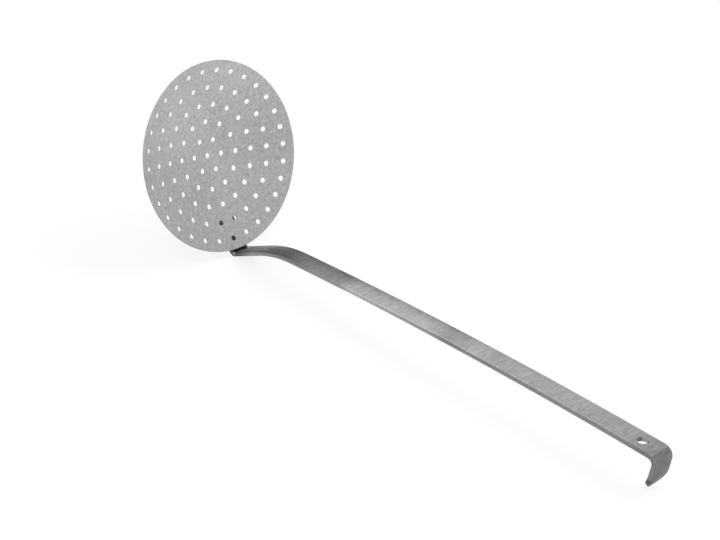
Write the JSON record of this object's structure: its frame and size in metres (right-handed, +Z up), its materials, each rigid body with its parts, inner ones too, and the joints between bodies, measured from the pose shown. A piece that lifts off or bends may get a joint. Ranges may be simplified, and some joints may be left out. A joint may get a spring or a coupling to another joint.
{
  "type": "skimmer",
  "caption": "Long-handled kitchen skimmer: a shallow round perforated steel blade on a flat strip handle with a hang hole and a curled hook.",
  "frame": {"origin": "on the table under the middle of the space that the skimmer takes as it rests on the bend at its blade's rim and on the tip of its hook", "axes": "+X along the handle from the blade to the hook, +Z up from the table, and the skimmer is the same on both sides of the XZ plane, apart from the turn of its pattern of holes"},
  "size_m": [0.3752, 0.12, 0.1175],
  "materials": {
    "blade_steel": "fine matt tumbled stainless steel",
    "handle_steel": "stainless steel brushed along the strip"
  },
  "bodies": {
    "root": {"perforated_blade": "blade_steel", "strip_handle": "handle_steel"}
  },
  "joints": []
}
